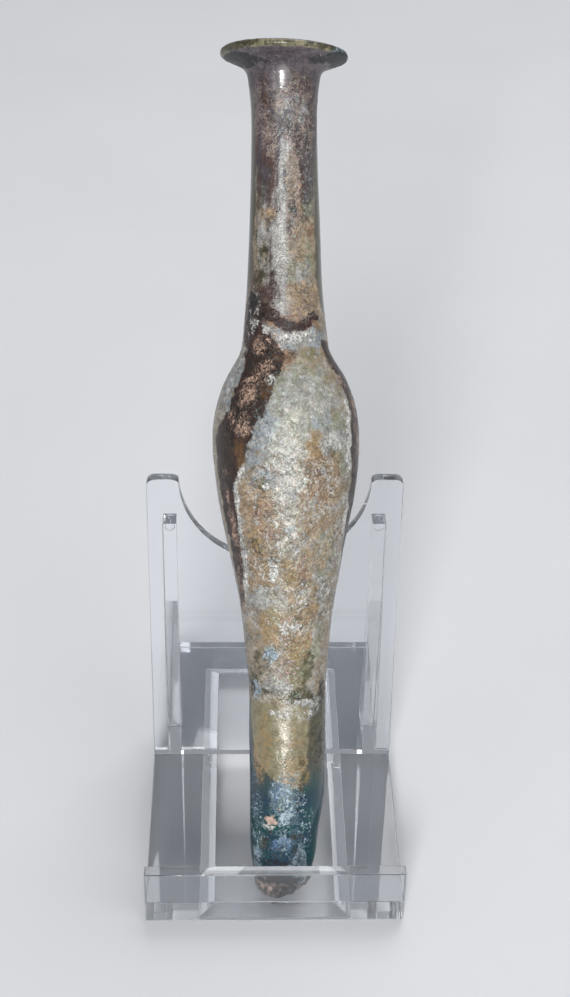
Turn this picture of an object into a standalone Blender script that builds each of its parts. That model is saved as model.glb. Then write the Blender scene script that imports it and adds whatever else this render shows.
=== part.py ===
"""An ancient glass unguentarium, a long spindle-shaped scent bottle, leaning in a clear easel.

The bottle is blown hollow and open at its mouth. Its closed tip stands on the ground inside
the easel's window, and its body lies back in the round notch of the easel's upright.
Metres, +Z up, +X to the viewer's right, +Y away from the viewer. The origin is the bottom
centre of the whole object's bounding box.
"""

import math

import bmesh
import bpy
from mathutils import Matrix, Vector, noise

MM = 0.001

# The gap kept between pieces that touch.
GAP = 0.3 * MM
# How far a shape runs past the face that it joins or cuts.
PAST = 1.0 * MM
# Points closer than this are welded into one.
WELD = 0.01 * MM

# Plain colours as linear RGB, for telling the pieces apart.
PLASTIC_COLOUR = (0.72, 0.8, 0.9)
PLASTIC_ROUGHNESS = 0.08
PLASTIC_ALPHA = 0.3
GLASS_COLOUR = (0.38, 0.32, 0.22)
GLASS_ROUGHNESS = 0.45

# The easel's base: a plate with an upstanding front lip and a window with sloping walls.
EASEL_WIDTH = 62.0 * MM
PLATE_THICKNESS = 4.5 * MM
LIP_THICKNESS = 3.0 * MM
LIP_HEIGHT = 15.4 * MM
FRONT_DEPTH = 57.0 * MM
BASE_DEPTH = 101.5 * MM
TONGUE_WIDTH = 54.8 * MM
WINDOW_TOP_WIDTH = 28.6 * MM
WINDOW_BOTTOM_WIDTH = 36.4 * MM
WINDOW_FRONT = 3.6 * MM
WINDOW_REAR = 88.0 * MM
WINDOW_FRONT_SLOPE = 1.6 * MM
WINDOW_REAR_SLOPE = 4.0 * MM

# The easel's back: an upright panel with a round notch and two ribs behind it.
PANEL_FOOT = 53.0 * MM
PANEL_LEAN = math.radians(3.5)
PANEL_THICKNESS = 3.0 * MM
PANEL_HEIGHT = 84.0 * MM
NOTCH_RADIUS = 23.2 * MM
EAR_ROUNDING = 2.0 * MM
RIB_THICKNESS = 3.4 * MM
RIB_CENTRE = 25.7 * MM
RIB_TOP = 70.5 * MM
RIB_KNEE = 46.0 * MM
RIB_TOP_DEPTH = 5.0 * MM
RIB_FOOT_DEPTH = 16.0 * MM
RIB_FOOT_HEIGHT = 2.0 * MM
EDGE_CHAMFER = 0.35 * MM
SHARP_ANGLE = math.radians(40)
NOTCH_STEPS = 30
ROUNDING_STEPS = 4

# The bottle's outer profile, as stations up its axis from the tip and radii there.
BOTTLE_PROFILE = (
    (0.4 * MM, 3.0 * MM),  # blunt tip
    (1.6 * MM, 5.4 * MM),
    (4.0 * MM, 7.2 * MM),
    (9.0 * MM, 8.3 * MM),
    (20.0 * MM, 8.85 * MM),  # long foot, nearly a cylinder
    (36.0 * MM, 9.05 * MM),
    (50.0 * MM, 9.1 * MM),
    (54.0 * MM, 9.35 * MM),  # slight kink where the body begins
    (60.0 * MM, 10.0 * MM),
    (72.0 * MM, 11.25 * MM),
    (84.0 * MM, 13.55 * MM),
    (98.0 * MM, 16.3 * MM),
    (109.0 * MM, 17.35 * MM),  # widest
    (118.5 * MM, 16.3 * MM),
    (125.0 * MM, 13.85 * MM),
    (129.5 * MM, 11.1 * MM),
    (131.6 * MM, 10.0 * MM),  # pinched root of the neck
    (136.0 * MM, 9.7 * MM),
    (146.0 * MM, 8.8 * MM),
    (162.0 * MM, 8.05 * MM),
    (184.0 * MM, 7.7 * MM),  # narrowest
    (190.0 * MM, 7.95 * MM),
    (193.4 * MM, 8.2 * MM),
    (195.5 * MM, 8.55 * MM),  # sharp turn out under the rim
    (196.6 * MM, 10.1 * MM),
    (197.7 * MM, 12.4 * MM),
)
RIM_RADIUS = 14.6 * MM
RIM_ROLL = 1.05 * MM
RIM_HEIGHT = 199.2 * MM
RIM_ARC = (105, -75)  # degrees, from inside the mouth over the rim to its underside
RIM_STEPS = 6

# The hollow inside follows the outer profile at the wall's thickness, between these stations.
WALL = 1.6 * MM
SHELL_START = 18.0 * MM
SHELL_END = 194.0 * MM
INNER_FLOOR = ((6.0 * MM, 3.2 * MM), (8.0 * MM, 5.6 * MM), (13.0 * MM, 6.9 * MM))
INNER_MOUTH = ((195.2 * MM, 7.2 * MM), (198.2 * MM, 8.8 * MM), (199.6 * MM, 11.4 * MM))
OUTER_SPACING = 3.0 * MM
INNER_SPACING = 6.5 * MM
ROUND_SIDES = 40

# How the hand-made bottle departs from a true turned shape.
CROOK = 1.25 * MM
CROOK_END = 40.0 * MM
RIM_SIDE_TILT = math.tan(math.radians(2.4))
RIM_BACK_TILT = math.tan(math.radians(4.4))
RIM_TILT_START = 188.0 * MM
OVALITY = 0.012
OVAL_TURN = 70.0 * MM
UNEVENNESS = 0.3 * MM
UNEVEN_SIZE = 16.0 * MM
TIP_ROUGHNESS = 0.9 * MM
TIP_ROUGH_SIZE = 3.2 * MM
TIP_ROUGH_END = 11.0 * MM

# How the bottle stands in the easel.
BOTTLE_LEAN = math.radians(27.56)
BOTTLE_SIDE_TILT = math.radians(-0.57)
BOTTLE_SIDE_PLACE = 3.4 * MM
TIP_PLACE = 8.7 * MM
FLOOR_CLEARANCE = 0.1 * MM


def clear_scene():
    for old in list(bpy.data.objects):
        bpy.data.objects.remove(old, do_unlink=True)


def new_collection(name, hidden=False):
    group = bpy.data.collections.new(name)
    bpy.context.scene.collection.children.link(group)
    group.hide_render = hidden
    return group


def principled(name, colour, roughness, alpha=1.0):
    """A plain coloured material; the colour is linear RGB."""
    material = bpy.data.materials.new(name)
    material.use_nodes = True
    shader = material.node_tree.nodes["Principled BSDF"]
    shader.inputs["Base Color"].default_value = (*colour, 1.0)
    shader.inputs["Roughness"].default_value = roughness
    shader.inputs["Metallic"].default_value = 0.0
    shader.inputs["Alpha"].default_value = alpha
    return material


def add_object(name, mesh, group, material=None):
    made = bpy.data.objects.new(name, mesh)
    group.objects.link(made)
    if material:
        mesh.materials.append(material)
    return made


def block(name, low, high, group, material=None):
    """A box between two corners, its mesh in world coordinates."""
    mesh = bpy.data.meshes.new(name)
    shape = bmesh.new()
    bmesh.ops.create_cube(shape, size=1.0)
    size = Vector(high) - Vector(low)
    middle = (Vector(high) + Vector(low)) / 2
    bmesh.ops.transform(
        shape,
        matrix=Matrix.Translation(middle) @ Matrix.Diagonal((*size, 1.0)),
        verts=shape.verts,
    )
    shape.to_mesh(mesh)
    shape.free()
    return add_object(name, mesh, group, material)


def as_helper(helper):
    helper.hide_render = True
    helper.display_type = "WIRE"
    return helper


def combine(piece, helper, operation):
    modifier = piece.modifiers.new(f"{operation.lower()} {helper.name}", "BOOLEAN")
    modifier.operation = operation
    modifier.solver = "EXACT"
    modifier.object = as_helper(helper)


def chamfer_edges(piece):
    modifier = piece.modifiers.new("chamfer", "BEVEL")
    modifier.width = EDGE_CHAMFER
    modifier.segments = 1
    modifier.limit_method = "ANGLE"
    modifier.angle_limit = SHARP_ANGLE


def window_cutter(group):
    """The tapered hole through the plate, wider below than above."""
    side_slope = (WINDOW_BOTTOM_WIDTH - WINDOW_TOP_WIDTH) / 2
    cutter = block(
        "window_cutter",
        (-WINDOW_TOP_WIDTH / 2, WINDOW_FRONT, 0.0),
        (WINDOW_TOP_WIDTH / 2, WINDOW_REAR, PLATE_THICKNESS),
        group,
    )
    for vertex in cutter.data.vertices:
        out_x = math.copysign(side_slope, vertex.co.x)
        front = vertex.co.y < (WINDOW_FRONT + WINDOW_REAR) / 2
        out_y = -WINDOW_FRONT_SLOPE if front else WINDOW_REAR_SLOPE
        below = vertex.co.z < PLATE_THICKNESS / 2
        share = 1.0 + PAST / PLATE_THICKNESS if below else -PAST / PLATE_THICKNESS
        vertex.co += Vector((out_x * share, out_y * share, -PAST if below else PAST))
    return cutter


def make_base(parts, cutters, material):
    half = EASEL_WIDTH / 2
    half_tongue = TONGUE_WIDTH / 2
    base = block(
        "easel_base", (-half, 0.0, 0.0), (half, FRONT_DEPTH, PLATE_THICKNESS), parts, material
    )
    lip = block("lip", (-half, 0.0, 0.0), (half, LIP_THICKNESS, LIP_HEIGHT), cutters)
    tongue = block(
        "tongue",
        (-half_tongue, FRONT_DEPTH - PAST, 0.0),
        (half_tongue, BASE_DEPTH, PLATE_THICKNESS),
        cutters,
    )
    combine(base, lip, "UNION")
    combine(base, tongue, "UNION")
    combine(base, window_cutter(cutters), "DIFFERENCE")
    chamfer_edges(base)
    return base


def arc(centre, radius, start, end, steps):
    """Points on an arc between two angles in degrees, both ends included."""
    points = []
    for step in range(steps + 1):
        angle = math.radians(start + (end - start) * step / steps)
        across = centre[0] + radius * math.cos(angle)
        points.append((across, centre[1] + radius * math.sin(angle)))
    return points


def panel_outline():
    """The upright's outline, anticlockwise: the foot, then up the right ear and round the notch."""
    half = EASEL_WIDTH / 2
    top = PANEL_HEIGHT
    turn = EAR_ROUNDING
    right_ear = arc((half - turn, top - turn), turn, 0, 90, ROUNDING_STEPS)
    inner = NOTCH_RADIUS + turn
    inner_right = arc((inner, top - turn), turn, 90, 180, ROUNDING_STEPS)
    sink = -math.degrees(math.asin(turn / NOTCH_RADIUS))
    notch = arc((0.0, top), NOTCH_RADIUS, sink, -180 - sink, NOTCH_STEPS)
    inner_left = arc((-inner, top - turn), turn, 0, 90, ROUNDING_STEPS)
    left_ear = arc((turn - half, top - turn), turn, 90, 180, ROUNDING_STEPS)
    foot = [(-half, -2 * PAST), (half, -2 * PAST)]
    return foot + right_ear + inner_right[:-1] + notch + inner_left[1:] + left_ear


def curve_as_mesh(curve):
    """The curve's solid as a mesh object's data, its caps welded on."""
    graph = bpy.context.evaluated_depsgraph_get()
    mesh = bpy.data.meshes.new_from_object(curve.evaluated_get(graph))
    mesh.transform(curve.matrix_world)
    bpy.data.objects.remove(curve)
    welded = bmesh.new()
    welded.from_mesh(mesh)
    bmesh.ops.remove_doubles(welded, verts=welded.verts, dist=WELD)
    bmesh.ops.recalc_face_normals(welded, faces=welded.faces)
    welded.to_mesh(mesh)
    welded.free()
    return mesh


def slab(name, outline, thickness, to_place):
    """A flat outline given its thickness, then moved by a matrix."""
    shape = bpy.data.curves.new(name, "CURVE")
    shape.dimensions = "2D"
    shape.fill_mode = "BOTH"
    shape.extrude = thickness / 2
    spline = shape.splines.new("POLY")
    spline.points.add(len(outline) - 1)
    for point, (across, up) in zip(spline.points, outline):
        point.co = (across, up, 0.0, 1.0)
    spline.use_cyclic_u = True
    curve = bpy.data.objects.new(name, shape)
    bpy.context.scene.collection.objects.link(curve)
    curve.matrix_world = to_place
    bpy.context.view_layer.update()
    return curve_as_mesh(curve)


def rib_outline():
    """A rib's side, in depth behind the panel's face and height up the panel."""
    below_foot = -3 * PAST
    sunk = PANEL_THICKNESS / 2
    back = PANEL_THICKNESS
    return [
        (sunk, below_foot),
        (back + RIB_FOOT_DEPTH, below_foot),
        (back + RIB_FOOT_DEPTH, RIB_FOOT_HEIGHT),
        (back + RIB_TOP_DEPTH, RIB_KNEE),
        (back + RIB_TOP_DEPTH, RIB_TOP),
        (sunk, RIB_TOP),
    ]


def panel_place():
    """From the panel's own frame, across X, up its height, to where it stands on the base."""
    stand = Matrix.Translation((0.0, PANEL_FOOT, PLATE_THICKNESS + GAP))
    lean = Matrix.Rotation(-PANEL_LEAN, 4, "X")
    upright = Matrix.Rotation(math.radians(90), 4, "X")
    return stand @ lean @ Matrix.Translation((0.0, PANEL_THICKNESS / 2, 0.0)) @ upright


def rib_place(side):
    """A rib's outline lies in a plane square to the panel, its depth running back along +Y."""
    stand = Matrix.Translation((side * RIB_CENTRE, PANEL_FOOT, PLATE_THICKNESS + GAP))
    lean = Matrix.Rotation(-PANEL_LEAN, 4, "X")
    turned = Matrix(((0, 0, 1, 0), (1, 0, 0, 0), (0, 1, 0, 0), (0, 0, 0, 1)))
    return stand @ lean @ turned


def make_back(parts, cutters, material):
    mesh = slab("easel_back", panel_outline(), PANEL_THICKNESS, panel_place())
    back = add_object("easel_back", mesh, parts, material)
    for side, name in ((-1, "rib_left"), (1, "rib_right")):
        rib = slab(name, rib_outline(), RIB_THICKNESS, rib_place(side))
        combine(back, add_object(name, rib, cutters), "UNION")
    reach = 2 * RIB_FOOT_DEPTH
    below = block(
        "foot_cutter",
        (-EASEL_WIDTH, PANEL_FOOT - reach, -reach),
        (EASEL_WIDTH, PANEL_FOOT + reach, PLATE_THICKNESS + GAP),
        cutters,
    )
    combine(back, below, "DIFFERENCE")
    chamfer_edges(back)
    return back


def curve_between(before, start, end, after, share):
    """A point on the Catmull-Rom curve from start to end."""
    square, cube = share * share, share**3
    return tuple(
        0.5
        * (
            2 * b
            + (c - a) * share
            + (2 * a - 5 * b + 4 * c - d) * square
            + (3 * b - a - 3 * c + d) * cube
        )
        for a, b, c, d in zip(before, start, end, after)
    )


def smooth_through(points, spacing):
    """A smooth curve through the points, cut into steps of about the given spacing."""
    made = []
    for index in range(len(points) - 1):
        before = points[max(index - 1, 0)]
        start, end = points[index], points[index + 1]
        after = points[min(index + 2, len(points) - 1)]
        steps = max(1, round(math.dist(start, end) / spacing))
        for step in range(steps):
            made.append(curve_between(before, start, end, after, step / steps))
    made.append(points[-1])
    return made


def bottle_outline():
    """The wall's section as (radius, height): up the inside, over the rim, down the outside."""
    outside = smooth_through(BOTTLE_PROFILE, OUTER_SPACING)
    shell = tuple(
        (height, radius - WALL)
        for height, radius in BOTTLE_PROFILE
        if SHELL_START < height < SHELL_END
    )
    inside = smooth_through(INNER_FLOOR + shell + INNER_MOUTH, INNER_SPACING)
    rim = arc((RIM_RADIUS - RIM_ROLL, RIM_HEIGHT), RIM_ROLL, *RIM_ARC, RIM_STEPS)
    up = [(0.0, INNER_FLOOR[0][0])] + [(radius, height) for height, radius in inside]
    down = [(radius, height) for height, radius in reversed(outside)]
    return up + rim + down + [(0.0, 0.0)]


def fade(value, start, end):
    """0 at start, 1 at end, smooth between."""
    share = min(max((value - start) / (end - start), 0.0), 1.0)
    return share * share * (3 - 2 * share)


def hand_made(point):
    """Where a point of the true turned shape lies on the real, slightly uneven bottle."""
    height = point.z
    oval = OVALITY * math.sin(height / OVAL_TURN)
    radial = Vector((point.x * (1 + oval), point.y * (1 - oval), 0.0))
    if radial.length > WELD:
        wave = UNEVENNESS * noise.noise(point / UNEVEN_SIZE)
        rough = TIP_ROUGHNESS * noise.noise(point / TIP_ROUGH_SIZE)
        rough *= 1 - fade(height, TIP_ROUGH_END / 2, TIP_ROUGH_END)
        radial += radial.normalized() * (wave + rough)
    crook = CROOK * max(1 - height / CROOK_END, 0.0) ** 2
    lift = -RIM_SIDE_TILT * radial.x - RIM_BACK_TILT * radial.y
    lift *= fade(height, RIM_TILT_START, RIM_HEIGHT)
    return Vector((radial.x - crook, radial.y, height + lift))


def turned_solid(outline):
    """The outline turned round Z into a closed mesh."""
    edges = [(index, index + 1) for index in range(len(outline) - 1)]
    section = bpy.data.meshes.new("section")
    section.from_pydata([(radius, 0.0, height) for radius, height in outline], edges, [])
    turned = add_object("section", section, bpy.context.scene.collection)
    screw = turned.modifiers.new("turn", "SCREW")
    screw.steps = ROUND_SIDES
    screw.render_steps = ROUND_SIDES
    screw.use_merge_vertices = True
    screw.merge_threshold = WELD
    bpy.context.view_layer.update()
    graph = bpy.context.evaluated_depsgraph_get()
    solid = bpy.data.meshes.new_from_object(turned.evaluated_get(graph))
    bpy.data.objects.remove(turned)
    return solid


def make_bottle(parts, material):
    """The bottle in its own frame, its tip at the origin and its mouth up +Z."""
    mesh = turned_solid(bottle_outline())
    for vertex in mesh.vertices:
        vertex.co = hand_made(vertex.co)
    mesh.shade_smooth()
    return add_object("unguentarium", mesh, parts, material)


def lean_bottle(bottle):
    """Leans the bottle back into the notch, its lowest point just clear of the ground."""
    bottle.rotation_euler = (-BOTTLE_LEAN, BOTTLE_SIDE_TILT, 0.0)
    turn = bottle.rotation_euler.to_matrix()
    lowest = min((turn @ vertex.co).z for vertex in bottle.data.vertices)
    bottle.location = (BOTTLE_SIDE_PLACE, TIP_PLACE, FLOOR_CLEARANCE - lowest)


def centre_on_origin(pieces):
    """Hangs everything on one empty, moved so that the whole box's bottom centre is the origin."""
    bpy.context.view_layer.update()
    graph = bpy.context.evaluated_depsgraph_get()
    corners = []
    for piece in pieces:
        shown = piece.evaluated_get(graph)
        corners += [shown.matrix_world @ vertex.co for vertex in shown.data.vertices]
    frame = bpy.data.objects.new("display", None)
    bpy.context.scene.collection.objects.link(frame)
    for piece in bpy.data.objects:
        if piece is not frame:
            piece.parent = frame
    low = [min(corner[axis] for corner in corners) for axis in range(3)]
    high = [max(corner[axis] for corner in corners) for axis in range(3)]
    frame.location = (-(low[0] + high[0]) / 2, -(low[1] + high[1]) / 2, -low[2])


def main():
    clear_scene()
    parts = new_collection("glass_unguentarium")
    cutters = new_collection("cutters", hidden=True)
    clear_plastic = principled("clear_plastic", PLASTIC_COLOUR, PLASTIC_ROUGHNESS, PLASTIC_ALPHA)
    old_glass = principled("weathered_glass", GLASS_COLOUR, GLASS_ROUGHNESS)
    base = make_base(parts, cutters, clear_plastic)
    back = make_back(parts, cutters, clear_plastic)
    bottle = make_bottle(parts, old_glass)
    lean_bottle(bottle)
    centre_on_origin((base, back, bottle))


main()
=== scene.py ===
"""Dresses the ancient glass unguentarium and the clear easel that it leans in.

The bottle gets its burial films and crusts, in relief and in colour. The easel gets its polished
faces, its fine rounded edges, the pin marks on its ribs and its sawn rear edge. Places are in
metres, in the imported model's frame, and the bottle's patterns are in millimetres along and round it.
"""

import math
from collections import namedtuple

import bmesh
import bpy
import numpy as np
from mathutils import Euler, Matrix, Vector, noise


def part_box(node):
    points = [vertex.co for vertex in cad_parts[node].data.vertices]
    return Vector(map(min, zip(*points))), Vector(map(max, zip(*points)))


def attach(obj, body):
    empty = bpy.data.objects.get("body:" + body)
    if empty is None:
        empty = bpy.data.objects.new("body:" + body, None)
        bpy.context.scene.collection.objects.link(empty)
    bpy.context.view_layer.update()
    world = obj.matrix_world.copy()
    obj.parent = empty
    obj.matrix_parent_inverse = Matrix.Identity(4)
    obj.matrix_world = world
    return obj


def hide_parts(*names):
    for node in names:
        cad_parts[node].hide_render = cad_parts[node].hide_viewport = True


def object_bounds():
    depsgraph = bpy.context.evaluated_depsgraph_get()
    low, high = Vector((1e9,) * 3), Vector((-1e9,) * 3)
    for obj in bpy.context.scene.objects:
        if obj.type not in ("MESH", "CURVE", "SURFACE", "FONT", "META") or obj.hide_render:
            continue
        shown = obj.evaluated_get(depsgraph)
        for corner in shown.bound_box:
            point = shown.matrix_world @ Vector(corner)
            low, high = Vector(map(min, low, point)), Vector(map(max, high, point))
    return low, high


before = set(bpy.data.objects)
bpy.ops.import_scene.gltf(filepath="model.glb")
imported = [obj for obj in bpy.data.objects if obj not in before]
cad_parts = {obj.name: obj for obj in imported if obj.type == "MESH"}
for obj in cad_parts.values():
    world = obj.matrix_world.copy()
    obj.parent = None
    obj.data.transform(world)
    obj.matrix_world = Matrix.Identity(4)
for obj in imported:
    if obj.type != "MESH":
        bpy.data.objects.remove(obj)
cad_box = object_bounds()

MM = 0.001

# The camera's lens on a 36 mm film; its place to the side, out from the easel's front and up; and
# how far it turns, looks down and rolls, in degrees.
LENS = 63.2
CAMERA_SIDE = -8.11 * MM
CAMERA_AWAY = 289.91 * MM
CAMERA_HEIGHT = 322.17 * MM
CAMERA_TURN = -1.73
CAMERA_DOWN = 34.46
CAMERA_ROLL = 1.04
# The height of the bottle's middle, which the lights are aimed at.
AIM_HEIGHT = 80 * MM
# The floor's width, and the hair's breadth by which it stays below the easel.
FLOOR_WIDTH = 6.0
FLOOR_GAP = 0.1 * MM

# The easel's sizes that its box doesn't give. Depths along the base are from its front, heights on
# the upright are from its foot, and a slope is how far a wall of the window moves out on its way
# down through the plate.
PLATE_THICKNESS = 4.5 * MM
LIP_THICKNESS = 3.0 * MM
FRONT_DEPTH = 57.0 * MM
TONGUE_WIDTH = 54.8 * MM
WINDOW_TOP_WIDTH = 28.6 * MM
WINDOW_BOTTOM_WIDTH = 36.4 * MM
WINDOW_FRONT = 3.6 * MM
WINDOW_REAR = 88.0 * MM
WINDOW_FRONT_SLOPE = 1.6 * MM
WINDOW_REAR_SLOPE = 4.0 * MM
PANEL_FOOT = 53.0 * MM
PANEL_LEAN = math.radians(3.5)
PANEL_THICKNESS = 3.0 * MM
PANEL_HEIGHT = 84.0 * MM
NOTCH_RADIUS = 23.2 * MM
EAR_ROUNDING = 2.0 * MM
RIB_THICKNESS = 3.4 * MM
RIB_CENTRE = 25.7 * MM
RIB_TOP = 70.5 * MM
RIB_KNEE = 46.0 * MM
RIB_TOP_DEPTH = 5.0 * MM
RIB_FOOT_DEPTH = 16.0 * MM
RIB_FOOT_HEIGHT = 2.0 * MM
EDGE_ROUNDING = 0.35 * MM
# The shallow round marks that the mould's ejector pins leave at the tops of the ribs.
PIN_RADIUS = 1.2 * MM
PIN_DEPTH = 0.25 * MM
# Faces larger than this area are flat; smaller ones belong to the rounded edges.
FLAT_FACE = 12 * MM * MM
# How far a cutter or a joined block reaches past the face that it meets.
PAST = 1 * MM
# The upright starts this far below its foot and is cut off level, because it leans.
PANEL_SPARE = 4 * MM
# Large enough for the cutters that go through the upright or under all of it.
NOTCH_CUTTER_DEPTH = 20 * MM
LEVEL_CUTTER_REACH = 100 * MM
# Places closer than this are one place.
HAIR = 0.01 * MM

# How the bottle leans, and where its tip stands.
BOTTLE_LEAN = math.radians(27.56)
BOTTLE_SIDE_TILT = math.radians(-0.57)
BOTTLE_SIDE_PLACE = 3.4 * MM
TIP_PLACE = 8.7 * MM
# Corners of the CAD bottle's triangles that are closer than this are one corner.
MERGE_GAP = 0.005 * MM

# The bottle's own measures are in mm: a station is a height along its axis, from its tip. Its foot
# bends to the side, by this much at the tip and by nothing at this station.
CROOK = 1.25
CROOK_END = 40.0
# Below the first station and above the second, everything is outer skin.
TIP_END = 2
RIM_TOP = 197
# The stations over which the rim begins, and the radii over which its underside and its edge do.
RIM_START = (193.5, 195.5)
RIM_UNDERSIDE = (10.4, 11.8)
RIM_EDGE = (13.7, 14.2)
# The angles from the front over which the rim's sides begin.
RIM_SIDES = (36, 66)
# A fine groove round the lower body.
GROOVE_STATION = 51.4
GROOVE_WIDTH = 0.5
GROOVE_DEPTH = 0.12
# The stations over which the bare foot begins, above the crusted tip, and over which it ends.
BARE_FOOT_START = (2, 7)
BARE_FOOT_END = (24, 30)
# The stations over which the broken tip gets smoother.
BREAK_END = (3, 8)
# The stations over which teal glass turns olive. The teal reaches higher about one angle, out to
# where the rise ends on both sides of it.
TEAL_END = (22, 36)
TEAL_RISE = 12
TEAL_RISE_ANGLE = -100
TEAL_RISE_END = (20, 44)
# The stations over which the tan deposit inside begins.
DEPOSIT_START = (30, 50)
# A patch is whole up to the first share of its half size and gone at the second.
PATCH_EDGE = (0.5, 1.3)
# Half the width of a ribbon's soft edge.
RIBBON_EDGE = 0.9
# Widths round the bottle are worked out as if it were never thinner than this.
LEAST_RADIUS = 4.0
# How far the noise that shapes the masks and the mesh is moved for each seed.
NOISE_SHIFT = (17.3, 5.1, 9.7)

# A Mix node has sockets for numbers and for colours, known by number: the share of B, A and B as
# numbers, A and B as colours, and the mixed colour that comes out.
SHARE, A, B = 0, 2, 3
COLOUR_A, COLOUR_B, MIXED_COLOUR = 6, 7, 2
# Noise seldom leaves this range, so it is stretched from here to the whole of 0 to 1.
NOISE_RANGE = {"From Min": 0.33, "From Max": 0.67}
# How far the materials' noise is moved for each seed, so that no two grains are alike.
SEED_STEP = 7.3


# ---------------------------------------------------------------- small tools


def pick(piece):
    """Makes a piece the only selected and active one."""
    bpy.ops.object.select_all(action="DESELECT")
    piece.select_set(True)
    bpy.context.view_layer.objects.active = piece


def apply_all(piece):
    """Applies all of a piece's modifiers, in their order."""
    pick(piece)
    for modifier in list(piece.modifiers):
        bpy.ops.object.modifier_apply(modifier=modifier.name)


def linear(hex_colour):
    """An sRGB hex colour as linear RGBA."""
    channels = [int(hex_colour[start : start + 2], 16) / 255 for start in (1, 3, 5)]
    return (*(c / 12.92 if c <= 0.04045 else ((c + 0.055) / 1.055) ** 2.4 for c in channels), 1.0)


def add_node(tree, kind, inputs=(), out=0, **settings):
    """Adds a shader node and gives back one of its outputs; an input that is a socket is linked.

    Inputs go by name, or by number where several have one name: those of Math are 0, 1 and 2.
    """
    node = tree.nodes.new("ShaderNode" + kind)
    for name, value in settings.items():
        setattr(node, name, value)
    for key, value in dict(inputs).items():
        if isinstance(value, bpy.types.NodeSocket):
            tree.links.new(value, node.inputs[key])
        else:
            node.inputs[key].default_value = value
    return node.outputs[out]


def new_material(name):
    """A new material, its node tree and its shader."""
    material = bpy.data.materials.new(name)
    material.use_nodes = True
    return material, material.node_tree, material.node_tree.nodes["Principled BSDF"]


def finish_piece(piece, node, slot, *materials):
    """Hangs a finished piece on the frame in place of its CAD node."""
    piece.data.materials.clear()
    for material in materials:
        piece.data.materials.append(material)
    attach(piece, "root")
    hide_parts(node)


# ---------------------------------------------------------------- camera, light and floor


def place_camera():
    low, _ = cad_box
    lens = bpy.data.cameras.new("camera")
    lens.lens = LENS
    camera = bpy.data.objects.new("camera", lens)
    bpy.context.scene.collection.objects.link(camera)
    place = Matrix.Translation((CAMERA_SIDE, low.y - CAMERA_AWAY, CAMERA_HEIGHT))
    turn = Matrix.Rotation(math.radians(CAMERA_TURN), 4, "Z")
    pitch = Matrix.Rotation(math.radians(90 - CAMERA_DOWN), 4, "X")
    roll = Matrix.Rotation(math.radians(CAMERA_ROLL), 4, "Z")
    camera.matrix_world = place @ turn @ pitch @ roll
    bpy.context.scene.camera = camera


def soft_light(name, azimuth, elevation, distance, size, power):
    """A square soft box aimed at the bottle's middle; azimuth 0 is in front, 90 to the right."""
    target = Vector((0.0, 0.0, AIM_HEIGHT))
    turn, rise = math.radians(azimuth), math.radians(elevation)
    away = Vector((math.sin(turn) * math.cos(rise), -math.cos(turn) * math.cos(rise), math.sin(rise)))
    lamp = bpy.data.lights.new(name, "AREA")
    lamp.shape = "SQUARE"
    lamp.size = size
    lamp.energy = power
    light = bpy.data.objects.new(name, lamp)
    bpy.context.scene.collection.objects.link(light)
    light.location = target + away * distance
    light.rotation_euler = away.to_track_quat("Z", "Y").to_euler()
    return light


def light_scene():
    soft_light("key_box", azimuth=-9, elevation=22, distance=1.9, size=0.42, power=28.5)
    soft_light("fill_box", azimuth=50, elevation=35, distance=1.2, size=0.9, power=3.0)
    back = soft_light("back_box", azimuth=160, elevation=60, distance=1.2, size=0.8, power=7.0)
    # It would otherwise stand as a white square in every edge of the clear easel.
    back.visible_transmission = False
    world = bpy.data.worlds.new("studio")
    world.use_nodes = True
    background = world.node_tree.nodes["Background"]
    background.inputs["Color"].default_value = linear("#c9ccd2")
    background.inputs["Strength"].default_value = 0.5
    scene = bpy.context.scene
    scene.world = world
    scene.view_settings.view_transform = "Standard"
    # Light runs a long way inside clear plastic before it gets out again.
    scene.cycles.max_bounces = 32
    scene.cycles.glossy_bounces = 24
    scene.cycles.transmission_bounces = 32


def matt_paper():
    """Matt paper, uncoated and rolled: no gloss to the eye, only a faint cloudiness in its tone.

    Paper is typically 0.9 rough and reflects little. Its fibres are far too fine to show, so only
    the clouds are drawn, nine to the metre.
    """
    material, tree, shader = new_material("matt_paper_sweep")
    place = add_node(tree, "TexCoord", out="Object")
    cloud = add_node(tree, "TexNoise", {"Vector": place, "Scale": 9.0, "Detail": 4.0}, "Fac")
    tones = {SHARE: cloud, COLOUR_A: linear("#d3d4d6"), COLOUR_B: linear("#dcdddf")}
    tone = add_node(tree, "Mix", tones, MIXED_COLOUR, data_type="RGBA")
    tree.links.new(tone, shader.inputs["Base Color"])
    shader.inputs["Roughness"].default_value = 0.9
    shader.inputs["Specular IOR Level"].default_value = 0.1
    return material


def make_floor():
    bpy.ops.object.select_all(action="DESELECT")
    bpy.ops.mesh.primitive_plane_add(size=FLOOR_WIDTH, location=(0, 0, -FLOOR_GAP))
    floor = bpy.context.active_object
    floor.name = "studio_floor"
    floor.data.materials.append(matt_paper())


# ---------------------------------------------------------------- the bottle's films

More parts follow.
